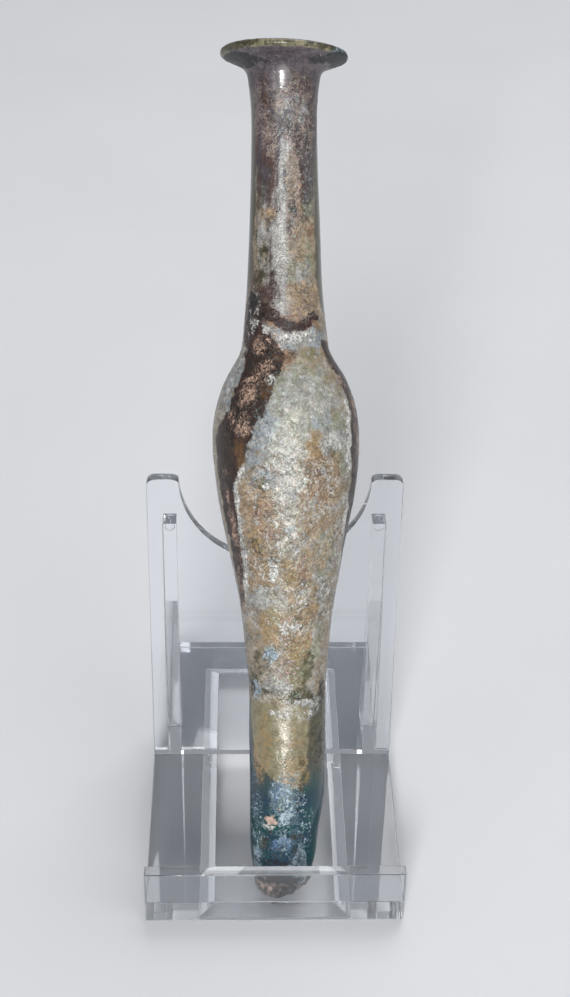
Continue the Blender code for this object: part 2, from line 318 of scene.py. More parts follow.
# Burial turns the skin of old glass into thin films and crusts. A film here has a light and a dark
# colour, the grain that mixes them, its roughness and how metallic it looks (a little, where thin
# layers shine like mother of pearl); the size of its ragged edge in mm, how far that edge eats into
# its outline, how far a grain does and which; how softly it fades, and its thickness in mm. Clean
# glass is about 0.1 rough, a sound film 0.2 to 0.35, and chalky or pitted crust 0.4 to 0.5. The
# first film lies lowest. There are at most 26: with 30 the material is too much for the renderer.
Film = namedtuple("Film", "light dark grain rough metal size ragged speck speck_grain soft thick")
FILMS = {
    # The even ground of the body.
    "tan": Film("#a3927a", "#776953", "mid", 0.28, 0.0, 3.0, 0.6, 0.2, "fine", 0.30, 0.02),
    "sage": Film("#9a9b87", "#6e725b", "mid", 0.28, 0.0, 3.4, 1.0, 0.3, "grit", 0.36, 0.02),
    # Drawn out along the neck: purple grey, red brown and a pale frosting, which down the neck's front
    # also paints part of the highlight streak.
    "dusk": Film("#655c60", "#383136", "drawn", 0.34, 0.0, 4.0, 0.8, 0.3, "drawn", 0.40, 0.02),
    "russet": Film("#5f4942", "#2f2220", "drawn", 0.32, 0.0, 2.4, 0.8, 0.6, "drawn", 0.30, 0.02),
    "frost_and_highlight": Film("#aaa8a4", "#807d79", "drawn", 0.32, 0.02, 3.0, 0.6, 0.8, "drawn", 0.36, 0.03),
    # The body's mottling: silvery, bluish, ochre and rust, with pale wrinkles.
    "silver": Film("#aeaca5", "#787570", "mid", 0.27, 0.04, 2.8, 1.1, 0.6, "grit", 0.36, 0.05),
    "mist": Film("#a2a8ab", "#686f73", "mid", 0.30, 0.02, 2.6, 1.0, 0.5, "grit", 0.36, 0.04),
    "ochre": Film("#a68e70", "#7b6951", "mid", 0.29, 0.0, 3.4, 1.1, 0.4, "ripple", 0.42, 0.03),
    "rust": Film("#a2856c", "#65493a", "foil", 0.30, 0.0, 2.4, 1.1, 0.5, "ripple", 0.34, 0.03),
    "crinkle": Film("#bcb8b0", "#8e8a82", "fine", 0.27, 0.04, 3.0, 1.0, 0.9, "ripple", 0.28, 0.04),
    # The smooth skin under the groove, which on the rim's front is also a painted highlight, and the
    # pale painted highlight down the front.
    "gold": Film("#948c72", "#6c664d", "mid", 0.26, 0.05, 3.0, 0.8, 0.2, "fine", 0.25, 0.01),
    "pearl": Film("#dad3c7", "#b0aa9e", "fine", 0.25, 0.03, 3.0, 0.8, 0.8, "grit", 0.42, 0.02),
    # Dark skins where the pale ones have come off, the second in a broad band over the shoulder. The
    # first is also laid on the rim's sides as painted shade.
    "olive": Film("#5a553d", "#26271a", "grit", 0.28, 0.0, 2.4, 1.1, 0.5, "grit", 0.26, 0.01),
    "umber": Film("#3d2418", "#080403", "grit", 0.30, 0.0, 1.8, 1.0, 0.5, "foil", 0.16, 0.01),
    # Thin pink and copper foil on the dark skins. The copper's light tone along the foil's folds is
    # partly painted sheen.
    "fleck": Film("#ab9a8e", "#5f524d", "foil", 0.30, 0.05, 1.6, 0.9, 1.0, "fold", 0.28, 0.04),
    "copper_and_sheen": Film("#d9b8a1", "#57382b", "fine", 0.24, 0.15, 3.0, 1.4, 1.1, "fold", 0.16, 0.05),
    # Hard pale flakes and chalky white crust.
    "flake": Film("#b9b8b3", "#8a8884", "grit", 0.30, 0.03, 2.2, 1.3, 0.4, "fine", 0.07, 0.12),
    "lime": Film("#dedcd6", "#9c9b98", "fine", 0.40, 0.0, 1.6, 1.0, 0.7, "fine", 0.26, 0.10),
    # Blue stains and pale bloom, mostly on the foot.
    "haze": Film("#5f7480", "#26404b", "mid", 0.30, 0.0, 2.4, 1.1, 0.7, "swirl", 0.30, 0.03),
    "cobalt": Film("#4d7396", "#1c3f5e", "fine", 0.30, 0.0, 1.4, 1.0, 0.7, "fine", 0.25, 0.03),
    "bloom": Film("#adbdc6", "#4a6573", "fine", 0.34, 0.0, 1.4, 1.1, 1.0, "fine", 0.24, 0.06),
    # Spots where the crust broke off, black stains, and one glossy spot under the rim. The black stain
    # also paints shadow under the rim's sides and under one chip.
    "chip": Film("#d8bbac", "#6a5046", "grit", 0.50, 0.0, 1.1, 1.0, 0.9, "fine", 0.14, 0.14),
    "pitch": Film("#2a2a2b", "#0b0a09", "mixed", 0.50, 0.0, 1.4, 1.0, 0.6, "fine", 0.20, 0.02),
    "glaze": Film("#7d7778", "#605a5b", "mid", 0.19, 0.0, 2.0, 0.3, 0.1, "mid", 0.30, 0.01),
    # Brown and yellow stains over all the others.
    "amber": Film("#70502f", "#341f12", "mid", 0.22, 0.0, 2.4, 1.0, 0.4, "grit", 0.45, 0.01),
    "honey": Film("#9b825a", "#776344", "fine", 0.28, 0.0, 2.6, 1.1, 0.7, "fine", 0.50, 0.02),
}

# Soft patches of each film: station up the bottle and angle round it (0 in front, + to the
# right), length along the bottle and width round it in mm, turn in degrees, strength.
PATCHES = {
    "tan": (
        (100, 0, 150, 160, 0, 1.0),
        (150, 0, 60, 40, 0, 1.0),
        (155, 180, 70, 40, 0, 1.0),
        (52, 0, 30, 44, 0, 0.9),
        (50, 180, 50, 40, 0, 0.9),
    ),
    "sage": (
        (118, 10, 26, 22, 0, 0.85),
        (110, 40, 20, 14, 0, 0.7),
        (168, -42, 14, 8, 0, 0.8),
        (168, 46, 16, 7, 0, 0.6),
        (152, 20, 16, 10, 0, 0.5),
        (82, 34, 30, 12, 0, 0.6),
        (100, 170, 60, 30, 0, 0.7),
        (64, 40, 20, 8, 0, 0.6),
        (186, 26, 10, 6, 0, 0.5),
    ),
    "dusk": (
        (188, 0, 52, 90, 0, 1.0),
        (168, 8, 14, 16, 0, 0.8),
        (174, -30, 24, 10, 0, 0.7),
        (184, 180, 44, 60, 0, 0.9),
        (166, -20, 10, 6, 0, 0.6),
        (140, -52, 9, 9, 0, 0.8),
        (134, -60, 9, 9, 0, 0.7),
    ),
    "russet": (
        (176, -30, 26, 5, 0, 0.55),
        (183, 34, 30, 6, 0, 0.6),
        (190, -30, 10, 6, 0, 0.5),
        (192, 8, 8, 12, 0, 0.5),
        (170, 22, 30, 3.4, 0, 0.9),
        (157, -23, 30, 2.8, 0, 1.3),
        (162, 10, 16, 2.4, 0, 0.7),
        (147, -24, 12, 4.5, 0, 1.2),
        (170, -58, 30, 5, 0, 0.5),
        (144, -50, 14, 9, 0, 0.8),
        (150, -74, 24, 5, 0, 0.5),
    ),
    "ochre": (
        (109, 22, 9, 6, 0, 1.0),
        (102, 28, 18, 12, 8, 1.0),
        (94, -26, 18, 13, 0, 1.0),
        (82, -30, 14, 10, 0, 0.8),
        (88, 30, 20, 10, 0, 0.6),
        (78, 12, 14, 9, 0, 0.8),
        (67, -16, 10, 9, 0, 1.0),
        (64, 16, 18, 7, 0, 1.0),
        (72, 26, 10, 7, 0, 0.9),
        (38, -42, 12, 5, 12, 1.0),
        (33.5, 10, 8, 7, -20, 0.9),
        (143, 28, 10, 10, 0, 0.95),
        (162.5, -33, 6, 5, 0, 0.6),
        (158, 22, 18, 5, 0, 0.65),
        (171, 12, 12, 4, 0, 0.5),
        (106, 160, 30, 20, 20, 0.8),
        (70, 150, 24, 14, 0, 0.8),
        (120, 200, 20, 14, 0, 0.6),
        (150, 190, 20, 10, 0, 0.7),
    ),
    "rust": (
        (102, 26, 15, 9, 10, 0.5),
        (92, -20, 10, 8, 0, 0.5),
        (80, 15, 10, 3, 0, 0.7),
        (159.5, 46, 4, 3, 0, 0.9),
        (138.2, 10, 4, 16, 0, 0.7),
        (129.6, -2, 5, 6, 0, 0.8),
        (66, -2, 8, 4, 0, 0.5),
        (90, 140, 20, 14, 0, 0.5),
    ),
    "gold": (
        (57, 20, 10, 6, 0, 0.9),
        (69, -22, 8, 5, 0, 0.6),
        (131, 30, 4, 5, 0, 0.8),
        (45, 180, 30, 30, 0, 0.7),
    ),
    "olive": (
        (50.8, 24, 4.5, 9, 0, 0.85),
        (51.4, 0, 1.6, 20, 0, 0.7),
        (58, -40, 8, 5, 0, 0.5),
        (33.6, 22, 3, 2.4, 20, 0.8),
        (82, -14, 8, 4, 0, 0.5),
        (101.5, -19, 5, 5, 30, 0.5),
        (86, -34, 5, 6, 0, 0.45),
        (153, -44, 16, 7, 0, 0.4),
        (56, 29, 11, 4, 0, 0.5),
        (55, -60, 10, 8, 0, 0.5),
        (42, 60, 26, 9, 0, 0.7),
        (26, -20, 7, 5, 0, 0.45),
        (15, -40, 12, 3, 0, 0.4),
        (29, 26, 8, 3, 0, 0.5),
    ),
    "glaze": ((193, -3, 6, 5, 0, 1.0),),
    "mist": (
        (112, -24, 18, 10, 12, 0.7),
        (134.5, 14, 7, 22, 0, 0.5),
        (45.5, 24, 4, 7, 0, 0.7),
        (101.5, -19, 8, 8, 30, 0.85),
        (116, 26, 6, 7, 0, 0.6),
        (88, 20, 5, 6, 0, 0.6),
        (100, 4, 4, 4, 0, 0.6),
        (124, -60, 18, 12, 0, 0.45),
        (186, 26, 8, 6, 0, 0.5),
        (48, 40, 6, 6, 0, 0.6),
        (80, -50, 20, 6, 0, 0.5),
    ),
    "silver": (
        (98, 0, 110, 150, 0, 0.40),
        (124, -60, 22, 22, 0, 0.7),
        (121, 10, 18, 30, 0, 0.6),
        (111, 50, 5, 9, 0, 0.95),
        (100, -2, 40, 8, 0, 0.6),
        (74, -30, 8, 8, 0, 0.8),
        (76, 30, 10, 8, 0, 0.8),
        (53, -10, 8, 24, 0, 0.6),
        (48, 42, 7, 7, 0, 0.9),
        (134.5, 14, 7, 22, 0, 0.9),
        (134, 180, 10, 40, 0, 0.6),
        (150, 150, 30, 14, 0, 0.5),
    ),
    # Most of it runs down the neck's front, where it paints part of the highlight streak.
    "frost_and_highlight": (
        (156, -8, 34, 5, 0, 0.9),
        (142, -4, 14, 6, 0, 0.9),
        (170, -6, 24, 3, 0, 0.6),
        (150, 14, 14, 9, 0, 0.5),
        (156, -40, 20, 5, 0, 0.55),
        (178, -3, 6, 4, 0, 0.5),
    ),
    "umber": (
        (141.5, -32, 4, 5, 0, 0.8),
        (140.0, -24, 3.4, 5, 30, 1.0),
        (138.2, -10, 3.0, 5, 20, 1.0),
        (137.3, 4, 3.0, 6, 0, 1.0),
        (137.5, 20, 2.8, 6, 0, 1.0),
        (138.6, 38, 2.4, 5, -20, 0.9),
        (140, -62, 7, 10, 0, 0.8),
    ),
    "amber": (
        (109, -41, 9, 3.4, 0, 0.8),
        (122.5, -19, 6, 2.4, 20, 0.6),
        (131, -3, 3, 7, 0, 0.5),
    ),
    "honey": (
        (37, -42, 18, 6, 10, 0.5),
        (32, 12, 9, 8, -25, 0.5),
        (40, 8, 10, 8, 0, 0.25),
        (81, 0, 9, 4, 0, 0.75),
        (67, -25, 8, 6, 0, 0.55),
        (62, 12, 10, 6, 0, 0.5),
        (109, 22, 9, 5, 0, 0.5),
        (74, 31, 8, 5, 0, 0.5),
        (88, -30, 8, 5, 0, 0.4),
    ),
    # The copper's light tone is partly painted sheen on the crumpled foil.
    "copper_and_sheen": (
        (133, -37, 5, 5, 0, 0.26),
        (134, -19, 4, 5, 0, 0.26),
        (127, -24, 6, 6, 0, 0.32),
        (122.4, -37, 8, 5.5, 20, 0.42),
        (115, -38, 5, 5.5, 0, 0.36),
        (116.5, -51, 5, 2.4, 0, 0.3),
        (102, -58, 8, 4, 0, 0.12),
        (90, -57, 20, 2.6, 0, 0.4),
        (76, -66, 12, 2.4, 0, 0.3),
        (114, 76, 20, 5, 0, 0.34),
        (125, 66, 8, 3, 0, 0.25),
    ),
    "fleck": (
        (168, 13, 30, 3.4, 0, 0.6),
        (181, 20, 14, 6, 0, 0.40),
        (189, 0, 9, 16, 0, 0.28),
        (180, -30, 10, 4, 0, 0.36),
        (159, 18, 14, 4, 0, 0.36),
        (142, 30, 8, 10, 0, 0.28),
        (186, -44, 16, 7, 0, 0.26),
        (184, 44, 20, 7, 0, 0.28),
        (190, 28, 8, 8, 0, 0.3),
    ),
    "crinkle": (
        (92, 0, 60, 60, 0, 0.15),
        (100, 28, 24, 12, 0, 0.28),
        (86, -20, 26, 12, 0, 0.24),
        (72, 4, 22, 16, 0, 0.26),
        (122, 24, 12, 12, 0, 0.25),
        (60, 0, 12, 16, 0, 0.20),
        (100, 180, 60, 60, 0, 0.15),
    ),
    # A pale painted highlight down the front.
    "pearl": (
        (106, 1, 28, 9, 0, 0.5),
        (86, 0, 20, 6, 0, 0.3),
        (44, -2, 14, 7, 0, 0.2),
    ),
    "haze": (
        (25, -6, 13, 8, 0, 0.8),
        (17, 2, 10, 7, 0, 0.65),
        (10, 24, 10, 5, 0, 0.6),
        (10, -54, 12, 4, 0, 0.6),
        (24, -60, 18, 5, 0, 0.25),
        (20, 190, 24, 16, 0, 0.5),
        (198.4, 66, 3, 10, 0, 0.9),
    ),
    "cobalt": (
        (14.0, -6, 4, 6, 0, 0.7),
        (60.4, -25, 3.4, 4, 0, 0.5),
        (27, -14, 5, 4, 0, 0.5),
        (23, 8, 5, 3, 0, 0.5),
    ),
    "flake": (
        (98, 0, 90, 110, 0, 0.16),
        (111.5, 46, 5, 8, 0, 1.0),
        (110, 31, 4, 4, 0, 0.9),
        (103, 56, 22, 3, 0, 0.5),
        (76, 34, 8, 8, 0, 0.6),
        (121, -6, 6, 9, 0, 0.5),
        (74, -34, 8, 7, 0, 0.55),
        (48.5, 30, 4, 10, 0, 0.5),
        (53, -16, 4, 10, 0, 0.5),
        (125, 26, 8, 8, 0, 0.4),
        (98, 180, 80, 80, 0, 0.2),
    ),
    "lime": (
        (134.6, 0, 2.4, 5, 0, 0.9),
        (134.8, 22, 3.4, 10, 0, 0.6),
        (136.5, -32, 2.4, 3, 0, 0.7),
        (125, -14, 3, 3, 10, 0.55),
        (119, -72, 4, 2, 0, 0.6),
        (126, -66, 14, 4, 0, 0.4),
        (104, 2, 24, 9, 0, 0.36),
        (80.5, -16, 7, 2.6, 0, 0.75),
        (66.5, 2, 3.4, 7, 0, 0.6),
        (74, 20, 5, 5, 0, 0.45),
        (45.5, 24, 3, 5, 0, 0.45),
        (46, -10, 3, 6, 0, 0.6),
        (48, 44, 3, 4, 0, 0.6),
        (9, 26, 8, 3, 0, 0.5),
        (9, -56, 9, 3, 0, 0.5),
        (140, -56, 10, 6, 0, 0.4),
        (18.5, -31, 1.3, 3.0, 0, 1.0),
        (101.0, -16, 2.2, 2.2, 0, 1.3),
        (1.6, -24, 2, 3, 0, 0.6),
        (5.5, 38, 3, 3, 0, 0.7),
    ),
    "bloom": (
        (198.6, 84, 3, 9, 0, 0.35),
        (198.2, 62, 3, 6, 0, 0.45),
        (24, 16, 10, 5, 0, 0.2),
        (60.4, -25, 4, 5, 0, 0.6),
        (16, -48, 20, 8, 0, 0.24),
        (16, 34, 14, 5, 0, 0.28),
        (91, 2, 3, 3, 0, 0.6),
        (26, -6, 9, 7, 0, 0.4),
        (22, 2, 10, 3, 30, 0.5),
        (13.5, -6, 5, 5, 0, 0.3),
        (30, 12, 7, 3, 0, 0.3),
        (51, -52, 5, 4, 0, 0.6),
        (22, -60, 16, 6, 0, 0.14),
        (8, 25, 9, 5, 0, 0.6),
        (9, -56, 10, 4, 0, 0.6),
        (20, 190, 24, 14, 0, 0.5),
    ),
    "chip": (
        (20.0, -28, 2.4, 3.6, 10, 1.0),
        (3.5, -14, 6, 11, 0, 0.8),
        (2.4, 24, 5, 7, 0, 0.7),
        (4.5, 60, 4, 3, 0, 0.6),
        (5.5, -42, 5, 4, 0, 0.8),
        (3.0, 180, 6.5, 34, 0, 0.7),
        (57, 4, 5, 6, 0, 0.45),
    ),
    "pitch": (
        (51, -64, 4, 4, 0, 0.55),
        (51, 66, 6, 4, 0, 0.55),
        (11, -14, 8, 8, 0, 0.35),
        (13, 14, 10, 2.4, 0, 0.5),
        (24, 16, 10, 2.4, 15, 0.4),
        # The next two paint shade at the rim's sides.
        (197.5, -70, 3, 18, 0, 0.95),
        (197.5, 74, 3, 18, 0, 0.95),
        (198.0, 60, 2.6, 6, 0, 0.7),
        (6.0, -12, 3, 12, 0, 0.9),
        (3.0, 0, 5, 7, 0, 0.8),
        (2.0, -30, 4, 5, 0, 0.5),
        (3.0, 180, 6, 30, 0, 0.45),
        (143, -56, 5, 4, 0, 0.8),
        (140, -60, 6, 5, 0, 0.5),
        (163.5, 14, 5, 2.4, 0, 0.7),
        (15.4, 18, 3, 4, 0, 0.65),
        # A painted shadow just below the chip at station 20.
        (17.2, -28, 1.0, 2.6, 0, 0.5),
        (12, 24, 10, 3, 0, 0.4),
        (12, -34, 9, 3, 0, 0.4),
        (38, 62, 24, 6, 0, 0.35),
    ),
}

# Films that run along the bottle as ribbons: station and the two edge angles there.
RIBBONS = {
    "umber": (
        (
            (139.5, -78, -44),
            (135.5, -76, -24),
            (133, -74, -12),
            (130.5, -62, -2),
            (127, -52, -4),
            (123, -54, -13),
            (118, -56, -20),
            (112, -72, -31),
            (106, -72, -38),
            (101, -71, -46),
            (93.5, -70, -48),
            (85, -70, -52),
            (76, -74, -60),
            (71, -76, -62),
        ),
        (
            (134, 58, 80),
            (128, 60, 82),
            (124, 62, 90),
            (118, 63, 102),
            (108, 61, 106),
            (98, 62, 100),
            (88, 70, 94),
            (82, 76, 90),
        ),
    ),
    "lime": (
        ((121, 57, 62), (112, 54, 61), (104, 55, 60)),
        ((106, -38, -35), (101, -46, -43), (93.5, -48, -44), (85, -52, -47), (74, -60, -55)),
        ((96, 60, 66), (88, 62, 69)),
    ),
    "gold": (
        (
            (48, -72, 36),
            (44, -72, 34),
            (38, -60, 32),
            (34, -48, 30),
            (31, -32, 24),
            (28.5, -14, 12),
            (27.5, -4, 6),
        ),
    ),
    "bare": (
        ((192, -112, -66), (178, -108, -60), (160, -108, -58), (150, -104, -60), (144, -96, -70)),
        ((182, 72, 104), (165, 56, 110), (150, 56, 106), (140, 64, 100)),
        ((48, 34, 130), (40, 34, 140), (31, 26, 150), (26, 10, 160)),
        ((48, -140, -70), (40, -150, -60), (31, -160, -34), (26, -170, -8)),
    ),
}

# Painted glints, in the tints into which thin films split light: patches as above. Most lie down
# the front, where the highlight falls.
PAINTED_GLINT_PATCHES = (
    (104, 0, 50, 12, 0, 1.0),
    (70, 0, 50, 14, 0, 0.8),
    (42, -2, 24, 6, 0, 0.6),
    (54, -3, 20, 9, 0, 0.9),
    (172, 16, 50, 12, 0, 0.5),
    (24, -4, 14, 8, 0, 0.6),
    (120, 10, 20, 30, 0, 0.4),
    (121, -37, 8, 8, 30, 0.2),
    (129, -27, 9, 10, 30, 0.2),
)
# The tip was knocked off at a slant. The last number here is a swelling in mm.
TIP_SLANT = (
    (1.5, -60, 6, 12, 0, 0.5),
    (5, 76, 32, 14, 0, -0.75),
)
# How far a film raises the mesh, in mm. The umber shows where others have come off, so it lies low.
CRUST_HEIGHTS = {"lime": 0.10, "silver": 0.06, "bloom": 0.08, "umber": -0.06}
# The crust is smoothest on the body's right shoulder.
SMOOTH_SHOULDER = (120, 22, 26, 26, 0, 1.0)

# Grains of the films: size in mm, how many times finer detail is added, and how far it is twisted.
# Real flakes and pits go down to 0.05 mm, too fine to show, so the finest are drawn at 0.5 mm.
GRAINS = {
    "fine": (0.5, 3.0, 0.0),
    "grit": (1.6, 5.0, 0.5),
    "mid": (2.4, 6.0, 0.3),
    "broad": (7.0, 5.0, 0.3),
    "pit": (0.8, 3.0, 0.0),
    "foil": (1.5, 5.0, 1.0),
}
# The first grain's seed. The films' edges count theirs from 1.
FIRST_GRAIN_SEED = 21
# Glass drawn out into a neck has streaks this wide in mm, and its pattern's scale along the neck is
# this share of that across it.
STREAK_WIDTH = 1.3
STREAK_STRETCH = 0.14
# The size in mm of the swirls in a crinkled film, and the angle in radians that their rings run
# through as the noise goes from 0 to 1.
SWIRL_SIZE = 3.4
SWIRL_TURNS = 55.0
# The sizes in mm of the crust between two cracks, of a painted glint and of what has one tint. A
# real glint is one flake, too fine to show, so the painted ones are drawn at 0.55 mm.
CRACK_SIZE = 4.5
GLINT_SIZE = 0.55
GLINT_SEED = 3.7
TINT_SIZE = 1.2
TINT_SEED = 9.1
TINTS = ("#e6b09c", "#f3e7ce", "#cbe1b6", "#aad5c4", "#f0f0ee", "#adc4ea", "#e6b6a2")


def smooth(value, start, end):
    """0 at start, 1 at end, smooth between, for whole arrays."""
    share = np.clip((value - start) / (end - start), 0.0, 1.0)
    return share * share * (3 - 2 * share)


def bottle_place(node):
    """The bottle's own frame: tip at its origin, mouth up +Z, its front facing -Y."""
    turn = Euler((-BOTTLE_LEAN, BOTTLE_SIDE_TILT, 0.0)).to_matrix().to_4x4()
    axis = turn.to_3x3().col[2]
    lowest = min(axis.dot(vertex.co) for vertex in node.data.vertices)
    x, y = BOTTLE_SIDE_PLACE, cad_box[0].y + TIP_PLACE
    z = (lowest - axis.x * x - axis.y * y) / axis.z
    return Matrix.Translation((x, y, z)) @ turn


class Skin:
    """Where each vertex of the bottle lies: station up the axis, angle round it, radius, in mm."""

    def __init__(self, mesh, place):
        self.mesh = mesh
        points = np.empty(len(mesh.vertices) * 3)
        mesh.vertices.foreach_get("co", points)
        back = np.array(place.inverted())
        local = (points.reshape(-1, 3) @ back[:3, :3].T + back[:3, 3]) / MM
        local[:, 0] += CROOK * np.clip(1 - local[:, 2] / CROOK_END, 0, None) ** 2
        facing = np.empty(len(mesh.vertices) * 3)
        mesh.vertices.foreach_get("normal", facing)
        self.facing = facing.reshape(-1, 3)
        own_facing = self.facing @ back[:3, :3].T
        self.local = local
        self.radius = np.hypot(local[:, 0], local[:, 1])
        self.station = local[:, 2]
        self.angle = np.degrees(np.arctan2(local[:, 0], -local[:, 1]))
        outward = np.sum(own_facing[:, :2] * local[:, :2], axis=1) > 0
        self.outer = (outward | (self.station > RIM_TOP) | (self.station < TIP_END)).astype(float)

    def noise(self, size, seed):
        """Smooth noise from -1 to 1 with features of about this size."""
        shift = Vector([seed * step for step in NOISE_SHIFT])
        return np.array([noise.noise(Vector(point) / size + shift) for point in self.local])

    def wander(self, size, amount, seed):
        """Moves the stations and angles about, so that outlines drawn on them meander."""
        self.station = self.station + amount * self.noise(size, seed)
        across = amount * self.noise(size, seed + 1)
        self.angle = self.angle + np.degrees(across / np.maximum(self.radius, LEAST_RADIUS))

    def around(self, angle):
        """Each vertex's angle from this one, -180 to 180."""
        return (self.angle - angle + 180) % 360 - 180

    def patch(self, station, angle, length, width, turn, strength):
        """An oval patch with a soft edge."""
        up = self.station - station
        across = np.radians(self.around(angle)) * np.maximum(self.radius, LEAST_RADIUS)
        slant = math.radians(turn)
        along = up * math.cos(slant) + across * math.sin(slant)
        aside = across * math.cos(slant) - up * math.sin(slant)
        reach = np.hypot(along / (length / 2), aside / (width / 2))
        return strength * (1 - smooth(reach, *PATCH_EDGE))

    def ribbon(self, rows):
        """A film between two edges that run along the bottle."""
        stations, starts, ends = (np.array(column) for column in zip(*sorted(rows)))
        start = np.interp(self.station, stations, starts)
        end = np.interp(self.station, stations, ends)
        middle = (start + end) / 2
        half = (end - start) / 2
        inside = (half - np.abs(self.around(middle))) * math.radians(1) * self.radius
        ends_off = np.minimum(self.station - stations[0], stations[-1] - self.station)
        return smooth(np.minimum(inside, ends_off), -RIBBON_EDGE, RIBBON_EDGE)

    def all_patches(self, patches):
        return np.max([self.patch(*patch) for patch in patches], axis=0)

    def keep(self, name, values):
        """Stores a value for each vertex, which the material reads by this name."""
        layer = self.mesh.attributes.new(name, "FLOAT", "POINT")
        layer.data.foreach_set("value", values.astype(np.float32))


def dress_rim(skin, masks):
    """Paints shadow under the rim at its sides, as a black stain, and mottled olive and gold on its
    edge: the darker olive towards the sides is painted shade, the gold in front a painted highlight.
    """
    aside = smooth(np.abs(skin.angle), *RIM_SIDES)
    rim = smooth(skin.station, *RIM_START)
    # The underside at the rim's sides gets painted shadow, laid on with the black stain film.
    painted_rim_shadow = smooth(skin.radius, *RIM_UNDERSIDE) * rim * aside
    lit_rim = smooth(skin.radius, *RIM_EDGE) * rim
    masks["pitch"] = np.maximum(masks["pitch"], painted_rim_shadow * (1 - lit_rim))
    # The olive thickens towards the sides as painted shade, and the gold in front as a painted highlight;
    # the blotches mottle both.
    blotch = 0.6 * skin.noise(size=3.0, seed=60)
    masks["olive"] = np.maximum(masks["olive"], (0.62 + 0.38 * aside + blotch) * lit_rim)
    masks["gold"] = np.maximum(masks["gold"], (0.9 - 0.6 * aside - blotch) * lit_rim)


def film_masks(skin):
    """How strongly each film covers each vertex, and where the glass is bare."""
    masks = {}
    for name in (*FILMS, "bare"):
        mask = np.zeros(len(skin.station))
        if name in PATCHES:
            mask = skin.all_patches(PATCHES[name])
        for rows in RIBBONS.get(name, ()):
            mask = np.maximum(mask, skin.ribbon(rows))
        masks[name] = mask
    foot = (1 - smooth(skin.station, *BARE_FOOT_END)) * smooth(skin.station, *BARE_FOOT_START)
    masks["bare"] = np.maximum(masks["bare"], foot)
    # The wide films stop where the glass is bare, and the flaky ones on the smooth umber and gold.
    for name in ("tan", "sage", "dusk", "silver", "frost_and_highlight", "russet"):
        masks[name] = masks[name] * (1 - masks["bare"])
    masks["silver"] = masks["silver"] * (1 - 0.95 * masks["umber"]) * (1 - 0.5 * masks["gold"])
    masks["flake"] = masks["flake"] * (1 - masks["umber"]) * (1 - masks["bare"])
    dress_rim(skin, masks)
    for name in masks:
        masks[name] = masks[name] * skin.outer
    # Inside, a tan deposit lines all but the foot.
    deposit = 0.8 * (1 - skin.outer) * smooth(skin.station, *DEPOSIT_START)
    masks["tan"] = np.maximum(masks["tan"], deposit)
    return masks


def surface_masks(skin, masks):
    """Where the glass is teal, where it is crusted and rough, and where glints are painted on it."""
    risen = 1 - smooth(np.abs(skin.around(TEAL_RISE_ANGLE)), *TEAL_RISE_END)
    crusted = (1 - masks["bare"]) * (1 - 0.85 * masks["glaze"]) * skin.outer
    crusted *= (1 - 0.5 * masks["gold"]) * (1 - 0.4 * masks["umber"])
    crusted *= 0.8 + 0.5 * skin.noise(size=11.0, seed=61) - 0.35 * skin.patch(*SMOOTH_SHOULDER)
    return {
        "teal": 1 - smooth(skin.station - TEAL_RISE * risen, *TEAL_END),
        "crusted": np.clip(crusted, 0.0, 1.0),
        "painted_glint": skin.all_patches(PAINTED_GLINT_PATCHES) * skin.outer,
    }


def lay_film(tree, own, name, film, seed, grains, below):
    """Lays one film over the sockets in below; gives back the sockets on top of it."""
    mask = add_node(tree, "Attribute", out="Fac", attribute_name=name)
    inputs = {"Vector": own, "W": SEED_STEP * seed, "Scale": 1 / film.size}
    edge = add_node(tree, "TexNoise", {**inputs, "Detail": 6.0, "Roughness": 0.7}, noise_dimensions="4D")
    edge = add_node(tree, "MapRange", {"Value": edge, **NOISE_RANGE})
    eaten = add_node(tree, "Math", {0: edge, 1: film.ragged, 2: mask}, operation="MULTIPLY_ADD")
    speck = {0: grains[film.speck_grain], 1: film.speck, 2: eaten}
    eaten = add_node(tree, "Math", speck, operation="MULTIPLY_ADD")
    # The film ends where mask, edge and grain together reach half of what they can.
    level = 0.5 + (film.ragged + film.speck) / 2
    limits = {"From Min": level - film.soft, "From Max": level + film.soft}
    cover = add_node(tree, "MapRange", {"Value": eaten, **limits}, interpolation_type="SMOOTHSTEP")
    # Nor does it stray where its mask is next to nothing.
    near = add_node(tree, "MapRange", {"Value": mask, "From Min": 0.02, "From Max": 0.2})
    cover = add_node(tree, "Math", {0: cover, 1: near}, operation="MULTIPLY")
    grain = grains[film.grain]
    tones = {SHARE: grain, COLOUR_A: linear(film.dark), COLOUR_B: linear(film.light)}
    tone = add_node(tree, "Mix", tones, MIXED_COLOUR, data_type="RGBA")
    heights = {"To Min": film.thick * 0.4, "To Max": film.thick * 1.3}
    height = add_node(tree, "MapRange", {"Value": grain, **heights})
    above = {"rough": film.rough, "metal": film.metal, "clear": 0.0, "height": height}
    made = {
        channel: add_node(tree, "Mix", {SHARE: cover, A: below[channel], B: value})
        for channel, value in above.items()
    }
    colours = {SHARE: cover, COLOUR_A: below["colour"], COLOUR_B: tone}
    made["colour"] = add_node(tree, "Mix", colours, MIXED_COLOUR, data_type="RGBA")
    return made


